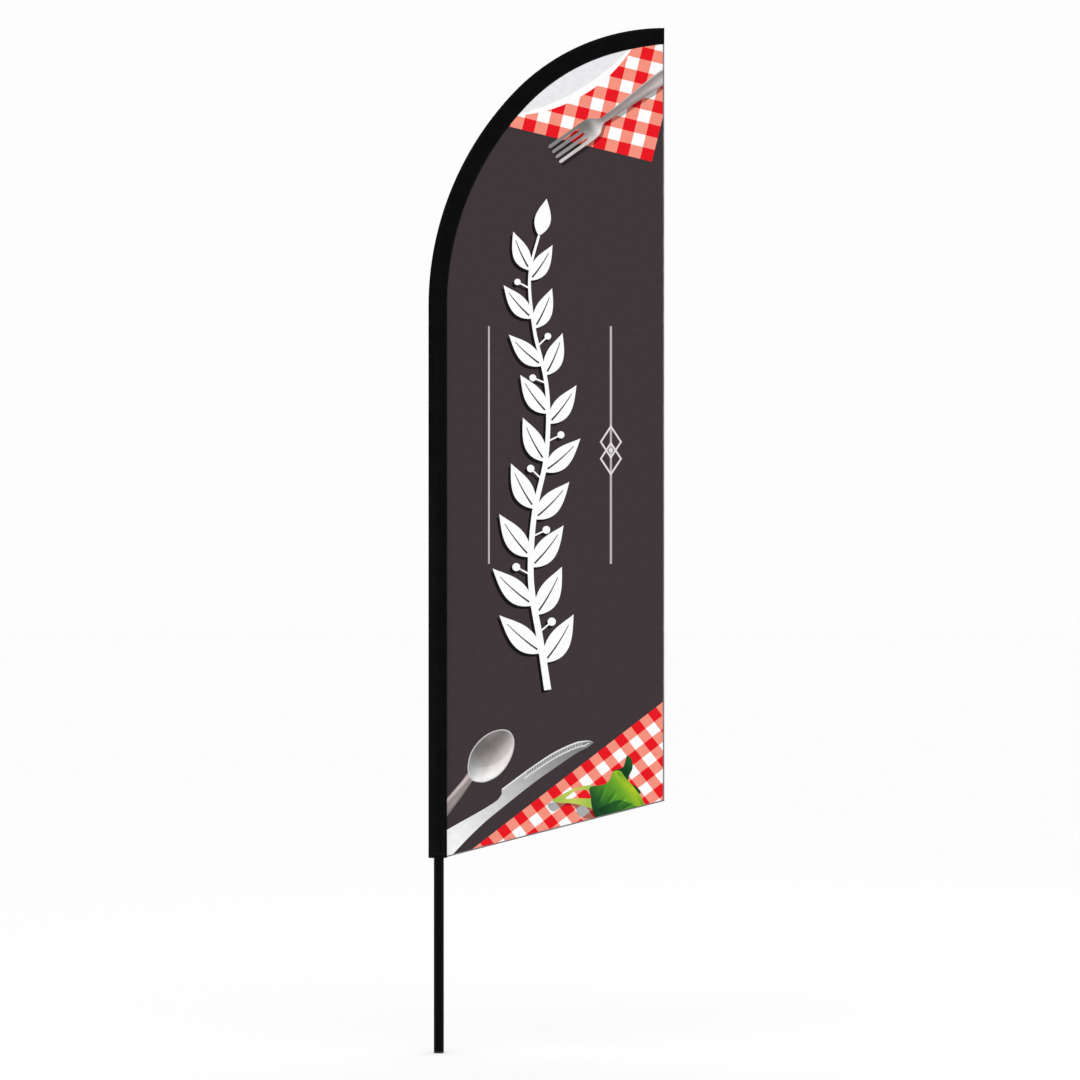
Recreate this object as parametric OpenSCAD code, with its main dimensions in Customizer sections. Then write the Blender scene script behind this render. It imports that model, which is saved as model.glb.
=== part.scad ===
// Feather flag on a take-down pole.
// Frame: the origin is the centre of the pole's bottom end, +Z points up, the flag
// stands off the pole towards +X, and its printed front faces -Y. Millimetres.

/* [Flag outline] */
// Height of the flag's highest point above the pole's foot
flag_top = 3050; // [2900:10:3200]
// Height of the sleeve's open lower end
sleeve_low = 580; // [560:5:595]
// Distance from the pole's axis out to the sleeve's folded edge
fold_offset = 31; // [30:0.5:33]
// Bend radius of the folded edge where it leaves the straight part
bend_low_r = 922; // [900:1:940]
// Bend radius of the folded edge near the tip
bend_tip_r = 619; // [610:1:630]
// Heading, from upright, at which the first bend hands over to the second
bend_change = 43.4; // [42:0.1:45]
// Height of the panel's lower edge where it meets the sleeve
panel_low = 582.5; // [582:0.5:598]
// Slope of the panel's lower edge
panel_slope = 14.5; // [10:0.5:18]

/* [Sleeve and cloth] */
// Width of the sleeve, from folded edge to seam
sleeve_w = 55.3; // [54:0.1:57]
// How much narrower the sleeve is at its closed tip end
tip_narrowing = 7; // [0:0.5:8]
// Thickness of the sleeve's cloth with its lining
sleeve_t = 1.2; // [1:0.1:1.4]
// Radius of the sleeve's folded edge
fold_r = 3; // [2.6:0.1:3.2]
// Width of the seam's two lips, which grip the panel's edge
seam_lap = 5; // [4.6:0.1:5.2]
// Thickness of the flag panel
panel_t = 1; // [0.8:0.1:1.2]
// Width of the binding on the panel's free edges
binding_w = 4; // [3:0.5:6]
// Thickness of one side of that binding
binding_t = 0.4; // [0.3:0.1:0.6]

/* [Pole tubes] */
// Outer diameter of the lower and middle tubes
pole_d = 30; // [29:0.1:30.4]
// Wall of the lower and middle tubes
pole_wall = 1.5; // [1.2:0.1:1.8]
// Outer diameter of the upper flexible tube
flex_d = 20; // [19:0.1:20.4]
// Wall of the upper flexible tube
flex_wall = 2.5; // [2.2:0.1:2.8]
// Diameter of the tip rod
rod_d = 11; // [10:0.1:11.4]
// Diameter of the tip rod at its upper end
rod_tip_d = 8; // [7:0.1:9]
// Height of the joint between the lower and middle tubes
joint_1 = 900; // [860:10:940]
// Height of the middle tube's upper end
joint_2 = 1640; // [1600:10:1660]
// Height of the upper tube's upper end
joint_3 = 2180; // [2160:5:2190]
// Depth to which each push-fit joint is engaged
engage = 120; // [100:5:130]
// Radius to which the tip rod bends until it meets the folded edge
rod_bend_r = 700; // [690:5:720]
// Distance from the folded edge to the rod's axis, once the rod lies along it
rod_inset = 10; // [9.8:0.1:10.6]

/* [Foot swivel] */
// Radius of the spindle bore
bore_r = 8.05; // [7.5:0.05:8.5]
// Height of the foot bush
bush_h = 118; // [110:1:130]
// Height of the bush's flange
flange_h = 4; // [3:0.5:5]
// Thickness of the thrust washer
washer_t = 1; // [0.8:0.1:1.2]
// Radial clearance of every running fit
run_gap = 0.06; // [0.02:0.01:0.09]

/* [Hidden] */
$fn = 96;

pole_r = pole_d / 2;
pole_in = pole_r - pole_wall;
flex_r = flex_d / 2;
flex_in = flex_r - flex_wall;
rod_r = rod_d / 2;
rod_tip_r = rod_tip_d / 2;

// The folded edge is two tangent arcs that end level at the flag's highest point.
arc_c1 = [bend_low_r - fold_offset,
    flag_top - bend_low_r * sin(bend_change) - bend_tip_r * (1 - sin(bend_change))];
arc_c2 = arc_c1 + (bend_low_r - bend_tip_r) * [-cos(bend_change), sin(bend_change)];
curve_low = arc_c1[1];
fly_x = arc_c2[0];

function inward(heading) = [cos(heading), -sin(heading)];
function fold_point(heading) = heading <= bend_change
    ? arc_c1 - bend_low_r * inward(heading)
    : arc_c2 - bend_tip_r * inward(heading);

// The rod leaves the pole's axis on an arc of rod_bend_r that runs tangent into the line
// rod_inset inside the folded edge.
rod_run_r = bend_low_r - rod_inset;
rod_start = curve_low + sqrt(pow(rod_run_r - rod_bend_r, 2)
    - pow(arc_c1[0] - rod_bend_r, 2));
rod_c = [rod_bend_r, rod_start];
rod_meets = atan2(rod_start - curve_low, arc_c1[0] - rod_bend_r);
rod_tip_x = fly_x - 22;

// Distance from the folded edge in to the axis of the rod or pole, at a heading.
function from_c1(heading) = let (
    toward = -inward(heading),
    offset = rod_c - arc_c1,
    along = toward * offset)
    heading <= atan2(rod_start - curve_low, arc_c1[0]) ? arc_c1[0] / cos(heading)
    : heading < rod_meets
    ? along + sqrt(along * along - offset * offset + rod_bend_r * rod_bend_r)
    : rod_run_r;
function core_inset(heading) = heading < bend_change
    ? bend_low_r - from_c1(heading)
    : rod_inset;

// Radius of the space that the sleeve keeps round what it holds.
mouth_space = pole_r + 2;
pole_space = pole_r + 1.2;
flex_space = flex_r + 2;
rod_space = rod_r + 1;
cap_space = rod_tip_r + 3;

// Stations of the sleeve: [folded-edge point, heading, inset of the core, space, width].
function ease(t) = let (c = min(1, max(0, t))) c * c * (3 - 2 * c);
function bend_space(heading) = flex_space + (rod_space - flex_space) * ease(heading / 12)
    + (cap_space - rod_space) * ease((heading - 82) / 4);
function bend_width(heading) =
    sleeve_w - tip_narrowing * pow(max(0, heading - 75) / 15, 2);
function straight_station(z, space) =
    [[-fold_offset, z], 0, fold_offset, space, sleeve_w];
function bend_station(heading) = [fold_point(heading), heading, core_inset(heading),
    bend_space(heading), bend_width(heading)];
heading_step = 2.5;
stations = concat([
    straight_station(sleeve_low, mouth_space),
    straight_station(sleeve_low + 60, mouth_space),
    straight_station(sleeve_low + 90, pole_space),
    straight_station(joint_2 + 15, pole_space),
    straight_station(joint_2 + 90, flex_space),
    straight_station(joint_3 + 20, flex_space)],
    [for (h = [0:heading_step:90]) bend_station(h)]);

// Half of a section of the sleeve, from the seam's lip round to the folded edge, as
// [inset, height] pairs; shrink is how far it lies inside the outer surface.
core_steps = 6;
fold_steps = 3;
lip_half = panel_t / 2 + sleeve_t;
function ray(angle) = [cos(angle), sin(angle)];
function lip_angle(s) = acos((s[3] + sleeve_t - lip_half) / (s[4] - seam_lap - s[2]));
function fold_angle(s) = acos((fold_r - s[3] - sleeve_t) / (s[2] - fold_r));
function lip_half_section(s, shrink) =
    [[s[4], lip_half - shrink], [s[4] - seam_lap, lip_half - shrink]];
function core_half_section(s, shrink) = let (
    core = s[3] + sleeve_t - shrink,
    from = lip_angle(s),
    turn = fold_angle(s),
    round_core = [for (i = [0:core_steps])
        [s[2], 0] + core * ray(from + (turn - from) * i / core_steps)],
    round_fold = [for (i = [1:fold_steps])
        [fold_r, 0] + (fold_r - shrink) * ray(turn + (180 - turn) * i / fold_steps)])
    concat(round_core, round_fold);
function whole(half) = concat(half,
    [for (i = [len(half) - 2:-1:0]) [half[i][0], -half[i][1]]]);
function sleeve_section(s, shrink) =
    whole(concat(lip_half_section(s, shrink), core_half_section(s, shrink)));
function cuff_section(s, shrink) = whole(core_half_section(s, shrink));
function placed(s, section) = [for (p = section)
    let (q = s[0] + p[0] * inward(s[1])) [q[0], p[1], q[1]]];

// A wall swept along stations: each ring is the outer line and then the inner line.
module swept_wall(rings) {
    n = len(rings[0]);
    half = n / 2;
    last = len(rings) - 1;
    points = [for (ring = rings) each ring];
    sides = [for (k = [0:last - 1], i = [0:n - 1])
        let (j = (i + 1) % n, a = k * n, b = (k + 1) * n)
        each [[a + i, a + j, b + j], [a + i, b + j, b + i]]];
    low_end = [for (i = [0:half - 2])
        each [[i + 1, i, n - 1 - i], [i + 1, n - 1 - i, n - 2 - i]]];
    top = last * n;
    high_end = [for (i = [0:half - 2])
        each [[top + i, top + i + 1, top + n - 1 - i],
            [top + i + 1, top + n - 2 - i, top + n - 1 - i]]];
    polyhedron(points, concat(sides, low_end, high_end));
}
function reversed(list) = [for (i = [len(list) - 1:-1:0]) list[i]];

// A turned part: its half profile is given as [radius, height] pairs.
module turned(profile) rotate_extrude() polygon(profile);
module tube(r_in, r_out, low, high)
    turned([[r_in, low], [r_out, low], [r_out, high], [r_in, high]]);

// Two flush rivets across a tube, at one height.
rivet_r = 2;
module rivet_pins(z) {
    for (side = [-90, 90])
        rotate([0, 0, side])
            translate([0, 0, z])
                rotate([0, 90, 0])
                    cylinder(r = rivet_r, h = pole_r + 1);
}
module flush_rivets(z, r_in) {
    intersection() {
        rivet_pins(z);
        tube(r_in, pole_r, z - 2 * rivet_r, z + 2 * rivet_r);
    }
}

// ---- foot ----
tube_low = flange_h + washer_t;
neck_low = 60;
neck_r = bore_r + 2.95;
groove_r = neck_r - 1.2;
groove_low = bush_h - 6;
ring_t = 1.6;
ring_out = neck_r + 1.6;
chamfer = 0.6;

module foot_bush() {
    color("#141414")
        turned([[bore_r, 0.8], [bore_r + 0.8, 0], [pole_r - chamfer, 0],
            [pole_r, chamfer], [pole_r, flange_h], [pole_in - run_gap, flange_h],
            [pole_in - run_gap, neck_low], [neck_r, neck_low], [neck_r, groove_low],
            [groove_r, groove_low], [groove_r, groove_low + ring_t],
            [neck_r, groove_low + ring_t], [neck_r, bush_h - chamfer],
            [neck_r - chamfer, bush_h], [bore_r, bush_h]]);
}

module thrust_washer() {
    color("#dcdcd4") tube(pole_in, pole_r, flange_h, tube_low);
}

module retaining_ring() {
    color("#8a8c8e")
        difference() {
            tube(groove_r, ring_out, groove_low, groove_low + ring_t);
            translate([0, -groove_r / 2, groove_low - 1])
                cube([ring_out + 1, groove_r, ring_t + 2]);
        }
}

// ---- lower mast ----
lower_rivet_z = joint_1 - 45;
spigot_wall = 2;

module lower_tube() {
    color("#0c0c0c")
        difference() {
            tube(pole_in, pole_r, tube_low, joint_1);
            rivet_pins(lower_rivet_z);
        }
}

module stop_ring() {
    color("#b4b6b8")
        tube(neck_r + run_gap, pole_in, neck_low + 4, groove_low - 0.5);
}

module lower_spigot() {
    slide_r = pole_in - run_gap;
    color("#b4b6b8")
        difference() {
            turned([[pole_in - spigot_wall, joint_1 - 85], [pole_in, joint_1 - 85],
                [pole_in, joint_1], [slide_r, joint_1],
                [slide_r, joint_1 + engage - 2], [slide_r - 1, joint_1 + engage],
                [pole_in - spigot_wall, joint_1 + engage]]);
            rivet_pins(lower_rivet_z);
        }
}

module lower_rivets() {
    color("#1c1c1c") flush_rivets(lower_rivet_z, pole_in - spigot_wall - 1.5);
}

// ---- middle mast ----
reducer_rivet_z = joint_2 - 40;
reducer_flange = 6;
flex_low = joint_2 + reducer_flange - engage;

module middle_tube() {
    color("#0c0c0c")
        difference() {
            tube(pole_in, pole_r, joint_1, joint_2);
            rivet_pins(reducer_rivet_z);
        }
}

module reducer() {
    slide_r = flex_r + run_gap;
    stop_low = flex_low - 10;
    color("#1a1a1c")
        difference() {
            turned([[flex_in, stop_low], [pole_in, stop_low], [pole_in, joint_2],
                [pole_r, joint_2], [pole_r, joint_2 + reducer_flange - 1.5],
                [pole_r - 1.5, joint_2 + reducer_flange],
                [slide_r, joint_2 + reducer_flange], [slide_r, flex_low],
                [flex_in, flex_low]]);
            rivet_pins(reducer_rivet_z);
        }
}

module reducer_rivets() {
    color("#1c1c1c") flush_rivets(reducer_rivet_z, flex_r + 0.5);
}

// ---- upper mast ----
band_h = 30;
band_t = 0.8;

module upper_tube() {
    color("#18181a") tube(flex_in, flex_r, flex_low, joint_3);
}

module upper_band() {
    color("#9a9c9e") tube(flex_r, flex_r + band_t, joint_3 - band_h, joint_3);
}

// ---- tip ----
collar_h = 12;
cap_grip = 14;
cap_r = rod_tip_r + 2.4;
cap_nose = 8;

module tip_ferrule() {
    slide_r = flex_in - run_gap;
    color("#9a9c9e")
        turned([[rod_r, joint_3 - engage], [slide_r - 1, joint_3 - engage],
            [slide_r, joint_3 - engage + 2], [slide_r, joint_3], [rod_r, joint_3]]);
}

module tip_collar() {
    color("#1a1a1c")
        turned([[rod_r, joint_3], [flex_r, joint_3], [flex_r, joint_3 + collar_h - 3],
            [flex_r - 3, joint_3 + collar_h], [rod_r, joint_3 + collar_h]]);
}

// Stations of the rod: [point on its axis, heading, radius]. It is parallel up to the
// start of its bend, and tapers from there to the tip.
function rod_point(heading) = heading < rod_meets
    ? rod_c - rod_bend_r * inward(heading)
    : fold_point(heading) + rod_inset * inward(heading);
rod_end_heading = acos((fly_x - rod_tip_x) / (bend_tip_r - rod_inset));
function rod_taper(heading) =
    rod_r + (rod_tip_r - rod_r) * heading / rod_end_heading;
rod_steps = 36;
rod_stations = concat([[[0, joint_3 - engage + 2], 0, rod_r]],
    [for (i = [0:rod_steps]) let (h = rod_end_heading * i / rod_steps)
        [rod_point(h), h, rod_taper(h)]]);
rod_sides = 24;

// A solid round bar swept along stations.
module swept_bar(bar, sides) {
    last = len(bar) - 1;
    points = [for (s = bar, i = [0:sides - 1])
        let (a = 360 * i / sides, q = s[0] + s[2] * cos(a) * inward(s[1]))
        [q[0], s[2] * sin(a), q[1]]];
    skin = [for (k = [0:last - 1], i = [0:sides - 1])
        let (j = (i + 1) % sides, a = k * sides, b = (k + 1) * sides)
        each [[a + i, b + j, a + j], [a + i, b + i, b + j]]];
    polyhedron(points, concat(skin, [[for (i = [0:sides - 1]) i]],
        [[for (i = [sides - 1:-1:0]) last * sides + i]]));
}

module tip_rod() {
    color("#18181a") swept_bar(rod_stations, rod_sides);
}

// The rubber cap lies along the rod's last stretch, square to its middle.
module tip_cap() {
    slack = 0.3;
    grip_angle = cap_grip / 2 / (bend_tip_r - rod_inset) * 180 / PI;
    tilt = rod_end_heading - grip_angle;
    at = rod_point(tilt);
    bore = rod_taper(tilt) + slack;
    color("#111111")
        translate([at[0], 0, at[1]])
            rotate([0, tilt, 0])
                translate([0, 0, -cap_grip / 2])
                    turned([[bore, 0], [cap_r, 0], [cap_r, cap_grip + 2],
                        [cap_r - 3, cap_grip + cap_nose - 2],
                        [0, cap_grip + cap_nose - 2], [0, cap_grip + 0.2],
                        [bore, cap_grip + 0.2]]);
}

// ---- flag ----
module sleeve() {
    color("#050505")
        swept_wall([for (s = stations) concat(
            placed(s, sleeve_section(s, 0)),
            placed(s, reversed(sleeve_section(s, sleeve_t))))]);
}

cuff_low = sleeve_low + 1;
cuff_high = sleeve_low + 20;
web_t = 0.8;
sewn_gap = 0.05;

module cuff_webbing() {
    low = straight_station(cuff_low, mouth_space);
    high = straight_station(cuff_high, mouth_space);
    outer = sleeve_t + sewn_gap;
    color("#101012")
        swept_wall([for (s = [low, high]) concat(
            placed(s, cuff_section(s, outer)),
            placed(s, reversed(cuff_section(s, outer + web_t))))]);
}

strap_low = sleeve_low + 24;
strap_high = strap_low + 25;
strap_in = pole_r + 0.4;
strap_t = 1;
fastener_t = 1.2;
fastener_half_angle = 18;

module cinch_strap() {
    color("#161618") tube(strap_in, strap_in + strap_t, strap_low, strap_high);
}

module strap_fastener() {
    color("#0a0a0a")
        translate([0, 0, strap_low])
            rotate([0, 0, 180 - fastener_half_angle])
                rotate_extrude(angle = 2 * fastener_half_angle)
                    translate([strap_in + strap_t, 0])
                        square([fastener_t, strap_high - strap_low]);
}

module strap_tab() {
    reach = strap_in + strap_t + fastener_t + 0.1;
    root = fold_offset - fold_r - 0.5;
    web_half = 0.8;
    color("#161618")
        translate([-root, -web_half, strap_low + 2])
            cube([root - reach, 2 * web_half, strap_high - strap_low - 4]);
}

patch_x = 9;
module tip_patch() {
    color("#101012")
        translate([fly_x - patch_x, 0, flag_top])
            rotate([90, 90, 90])
                linear_extrude(patch_x - 1)
                    polygon(cuff_section(bend_station(90), sleeve_t + 0.3));
}

// The panel's edge lies between the lips, a little short of their root.
panel_bite = seam_lap - 0.5;
seam_x = sleeve_w - fold_offset;
panel_x = seam_x - panel_bite;
edge_x = fly_x - binding_t - 0.1;
function low_edge(x, inset) =
    [x, panel_low + (x - seam_x) * tan(panel_slope) + inset / cos(panel_slope)];

module flag_panel() {
    curve = [for (s = stations)
        if (s[0][1] >= curve_low && s[1] < 90)
            s[0] + (s[4] - panel_bite) * inward(s[1])];
    tip_width = bend_width(90) - panel_bite;
    color("#42383a")
        translate([0, panel_t / 2, 0])
            rotate([90, 0, 0])
                linear_extrude(panel_t)
                    polygon(concat([low_edge(panel_x, binding_t + 0.1)], curve,
                        [[edge_x, flag_top - tip_width],
                            low_edge(edge_x, binding_t + 0.1)]));
}

// Section of the binding: a U that holds the panel's edge; it opens towards -X.
module binding_section() {
    half = panel_t / 2;
    difference() {
        translate([-binding_w, -half - binding_t])
            square([binding_w, panel_t + 2 * binding_t]);
        translate([-binding_w - 1, -half])
            square([binding_w + 1 - binding_t, panel_t]);
    }
}

module fly_binding() {
    low = low_edge(fly_x, 0)[1];
    high = flag_top - bend_width(90) - 0.7;
    color("#8f8c8d")
        intersection() {
            translate([fly_x, 0, low - 5]) linear_extrude(high - low + 5) binding_section();
            translate([0, 5, 0])
                rotate([90, 0, 0])
                    linear_extrude(10)
                        polygon([low_edge(0, 0), low_edge(fly_x + 10, 0),
                            [fly_x + 10, flag_top], [0, flag_top]]);
        }
}

module bottom_binding() {
    length = (fly_x - seam_x) / cos(panel_slope);
    start = low_edge(seam_x, 0);
    color("#8f8c8d")
        intersection() {
            translate([start[0], 0, start[1]])
                rotate([0, -panel_slope, 0])
                    rotate([0, 90, 0])
                        translate([0, 0, -5])
                            linear_extrude(length + 10) binding_section();
            translate([seam_x + 0.3, -5, sleeve_low])
                cube([fly_x - binding_w - seam_x - 0.4, 10, 400]);
        }
}

foot_bush();
thrust_washer();
retaining_ring();
lower_tube();
stop_ring();
lower_spigot();
lower_rivets();
middle_tube();
reducer();
reducer_rivets();
upper_tube();
upper_band();
tip_ferrule();
tip_collar();
tip_rod();
tip_cap();
sleeve();
cuff_webbing();
cinch_strap();
strap_fastener();
strap_tab();
tip_patch();
flag_panel();
fly_binding();
bottom_binding();
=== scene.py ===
"""Feather flag with pole: the looks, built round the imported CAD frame.

Everything is in metres in the row frame: +Z up the pole, the flag towards +X, its printed
front facing -Y. The print is drawn in millimetres of the same frame, and scaled by MM.
"""
import math

import bmesh
import bpy
import numpy as np
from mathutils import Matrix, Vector, geometry, noise


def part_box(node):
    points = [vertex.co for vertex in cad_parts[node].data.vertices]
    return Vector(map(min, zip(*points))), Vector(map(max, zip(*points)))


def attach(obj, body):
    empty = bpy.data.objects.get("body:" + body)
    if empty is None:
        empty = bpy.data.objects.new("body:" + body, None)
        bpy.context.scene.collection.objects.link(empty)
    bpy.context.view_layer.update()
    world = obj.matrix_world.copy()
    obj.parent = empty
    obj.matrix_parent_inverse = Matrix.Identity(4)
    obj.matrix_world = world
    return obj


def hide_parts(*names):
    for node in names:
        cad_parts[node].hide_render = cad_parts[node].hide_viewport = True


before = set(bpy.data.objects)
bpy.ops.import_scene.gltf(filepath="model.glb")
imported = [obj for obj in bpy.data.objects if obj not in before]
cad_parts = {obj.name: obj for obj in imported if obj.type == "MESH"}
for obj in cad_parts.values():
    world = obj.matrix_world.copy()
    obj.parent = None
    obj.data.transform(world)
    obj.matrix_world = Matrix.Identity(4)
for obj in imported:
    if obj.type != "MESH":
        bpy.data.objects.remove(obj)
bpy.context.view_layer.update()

MM = 0.001

# ---------------------------------------------------------------- driving dimensions
SLEEVE_LOW, SLEEVE_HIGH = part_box("sleeve")
FOLD_OFFSET = -SLEEVE_LOW.x
FLY_X = SLEEVE_HIGH.x
TOP = SLEEVE_HIGH.z
MOUTH_Z = SLEEVE_LOW.z
BEND_LOW_R = 0.922
BEND_TIP_R = 0.619
BEND_CHANGE = math.radians(43.4)
SLEEVE_W = 0.0553
TIP_NARROWING = 0.007
NARROWS_FROM = 75
SEAM_X = SLEEVE_W - FOLD_OFFSET
POLE_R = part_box("lower_tube")[1].x
FLEX_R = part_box("upper_tube")[1].x
ROD_R = 0.0055
ROD_TIP_R = 0.004
ROD_BEND_R = 0.700
ROD_INSET = 0.010
FOLD_R = 0.003
SEAM_LAP = 0.005
SLEEVE_SHELL = 0.0012
JOINT_2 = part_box("middle_tube")[1].z
PANEL_LOW_Z = 0.5825
PANEL_SLOPE = math.radians(14.5)
CLOTH_T = 0.0004
SLEEVE_T = 0.0005
LIP_HALF = 0.0009
BINDING_W = 0.004
STITCH_PITCH = 0.003


def ease(t):
    t = np.clip(t, 0.0, 1.0)
    return t * t * (3 - 2 * t)


# ---------------------------------------------------------------- the flag's outline
ARC_1 = np.array([BEND_LOW_R - FOLD_OFFSET,
                  TOP - BEND_LOW_R * math.sin(BEND_CHANGE)
                  - BEND_TIP_R * (1 - math.sin(BEND_CHANGE))])
ARC_2 = ARC_1 + (BEND_LOW_R - BEND_TIP_R) * np.array([-math.cos(BEND_CHANGE),
                                                      math.sin(BEND_CHANGE)])
CURVE_LOW = ARC_1[1]
STRAIGHT_LEN = CURVE_LOW - MOUTH_Z
LOW_ARC_LEN = BEND_LOW_R * BEND_CHANGE
FOLD_LEN = STRAIGHT_LEN + LOW_ARC_LEN + BEND_TIP_R * (math.pi / 2 - BEND_CHANGE)


def inward(heading):
    return np.array([math.cos(heading), -math.sin(heading)])


def heading_at(s):
    """Heading of the folded edge, from upright, a distance s along it from the mouth."""
    bent = max(0.0, s - STRAIGHT_LEN)
    if bent <= LOW_ARC_LEN:
        return bent / BEND_LOW_R
    return BEND_CHANGE + (bent - LOW_ARC_LEN) / BEND_TIP_R


def fold_point(s):
    """The folded edge's (x, z), a distance s along it from the mouth."""
    if s <= STRAIGHT_LEN:
        return np.array([-FOLD_OFFSET, MOUTH_Z + s])
    heading = heading_at(s)
    if heading <= BEND_CHANGE:
        return ARC_1 - BEND_LOW_R * inward(heading)
    return ARC_2 - BEND_TIP_R * inward(heading)


def sleeve_width(heading):
    """The sleeve's flat width, which narrows over the last of the bend."""
    past = np.maximum(0.0, np.degrees(heading) - NARROWS_FROM) / (90 - NARROWS_FROM)
    return SLEEVE_W - TIP_NARROWING * past * past


def along(s, inset):
    """The point (x, z) that lies inset inside the folded edge."""
    return fold_point(s) + inset * inward(heading_at(s))


def fold_distance(x, z):
    """How far points lie inside the folded edge, and the heading there."""
    to_1 = np.stack([x - ARC_1[0], z - ARC_1[1]])
    to_2 = np.stack([x - ARC_2[0], z - ARC_2[1]])
    angle_1 = np.arctan2(to_1[1], -to_1[0])
    angle_2 = np.clip(np.arctan2(to_2[1], -to_2[0]), 0, math.pi / 2)
    straight = x + FOLD_OFFSET
    low = BEND_LOW_R - np.hypot(*to_1)
    high = BEND_TIP_R - np.hypot(*to_2)
    inset = np.where(angle_1 <= 0, straight, np.where(angle_1 <= BEND_CHANGE, low, high))
    heading = np.where(angle_1 <= 0, 0, np.where(angle_1 <= BEND_CHANGE, angle_1, angle_2))
    return inset, heading


def seam_distance(x, z):
    """How far points of the panel lie from the seam."""
    inset, heading = fold_distance(x, z)
    return inset - sleeve_width(heading)


def low_edge_z(x):
    return PANEL_LOW_Z + (x - SEAM_X) * math.tan(PANEL_SLOPE)


# The rod's axis, as in the CAD source: it bends tangent into a line ROD_INSET inside.
ROD_RUN_R = BEND_LOW_R - ROD_INSET
ROD_START = CURVE_LOW + math.sqrt((ROD_RUN_R - ROD_BEND_R) ** 2
                                  - (ARC_1[0] - ROD_BEND_R) ** 2)
ROD_MEETS = math.atan2(ROD_START - CURVE_LOW, ARC_1[0] - ROD_BEND_R)


def core_inset(heading):
    """How far inside the folded edge the pole's or rod's axis lies."""
    if heading >= ROD_MEETS:
        return ROD_INSET
    if heading <= math.atan2(ROD_START - CURVE_LOW, ARC_1[0]):
        return BEND_LOW_R - ARC_1[0] / math.cos(heading)
    offset = np.array([ROD_BEND_R, ROD_START]) - ARC_1
    reach = float(-inward(heading) @ offset)
    return BEND_LOW_R - reach - math.sqrt(reach ** 2 - offset @ offset + ROD_BEND_R ** 2)


POLE_SPACE = POLE_R + 0.0012
MOUTH_SPACE = POLE_R + 0.002
FLEX_SPACE = FLEX_R + 0.002
ROD_SPACE = ROD_R + 0.001
TIP_SPACE = ROD_TIP_R + 0.003
SPACE_KNOTS = [(0.0, MOUTH_SPACE), (0.060, MOUTH_SPACE), (0.090, POLE_SPACE),
               (JOINT_2 + 0.015 - MOUTH_Z, POLE_SPACE),
               (JOINT_2 + 0.090 - MOUTH_Z, FLEX_SPACE), (STRAIGHT_LEN, FLEX_SPACE)]


def core_space(s):
    """Radius of the space that the sleeve keeps round the pole or rod."""
    if s < STRAIGHT_LEN:
        return float(np.interp(s, *zip(*SPACE_KNOTS)))
    degrees = math.degrees(heading_at(s))
    return float(FLEX_SPACE + (ROD_SPACE - FLEX_SPACE) * ease(degrees / 12)
                 + (TIP_SPACE - ROD_SPACE) * ease((degrees - 82) / 4))


# ---------------------------------------------------------------- mesh helpers
def placed(mesh):
    """Puts a mesh in the scene as a smooth object that rides with the cloth."""
    mesh.shade_smooth()
    obj = bpy.data.objects.new(mesh.name, mesh)
    bpy.context.scene.collection.objects.link(obj)
    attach(obj, "tip")
    return obj


def new_object(name, verts, faces):
    mesh = bpy.data.meshes.new(name)
    mesh.from_pydata([tuple(map(float, v)) for v in verts], [],
                     [tuple(map(int, f)) for f in faces])
    mesh.validate()
    mesh.update()
    return placed(mesh)


def outward(obj, merge=False):
    """Turns every face outward, after merging doubled points when merge is set."""
    bm = bmesh.new()
    bm.from_mesh(obj.data)
    if merge:
        bmesh.ops.remove_doubles(bm, verts=bm.verts, dist=1e-6)
    bmesh.ops.recalc_face_normals(bm, faces=bm.faces)
    bm.to_mesh(obj.data)
    bm.free()
    return obj


def finished(obj, material, node=None):
    """Gives a piece its material in a new slot, and hides the CAD node that it stands for."""
    obj.data.materials.append(material)
    if node:
        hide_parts(node)
    return obj


def lofted(rings, closed_ring=True, capped=True):
    """Vertices and faces of a surface through rings of equal length."""
    n = len(rings[0])
    faces = []
    for k in range(len(rings) - 1):
        for i in range(n if closed_ring else n - 1):
            j = (i + 1) % n
            faces.append((k * n + i, k * n + j, (k + 1) * n + j, (k + 1) * n + i))
    if capped and closed_ring:
        faces.append(tuple(range(n - 1, -1, -1)))
        faces.append(tuple((len(rings) - 1) * n + i for i in range(n)))
    return np.concatenate([np.asarray(r, float) for r in rings]), faces


def unit(v):
    v = np.asarray(v, float)
    return v / np.linalg.norm(v)


def walked(line):
    """How far each point of a path lies along it."""
    return np.concatenate([[0], np.cumsum(np.linalg.norm(np.diff(line, axis=0), axis=1))])


def point_at(line, run, s):
    """The points on a path at distances s along it, where run is walked(line)."""
    return np.stack([np.interp(s, run, column) for column in line.T], -1)


# ---------------------------------------------------------------- materials
WAVE_UNIT = 3.183


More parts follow.
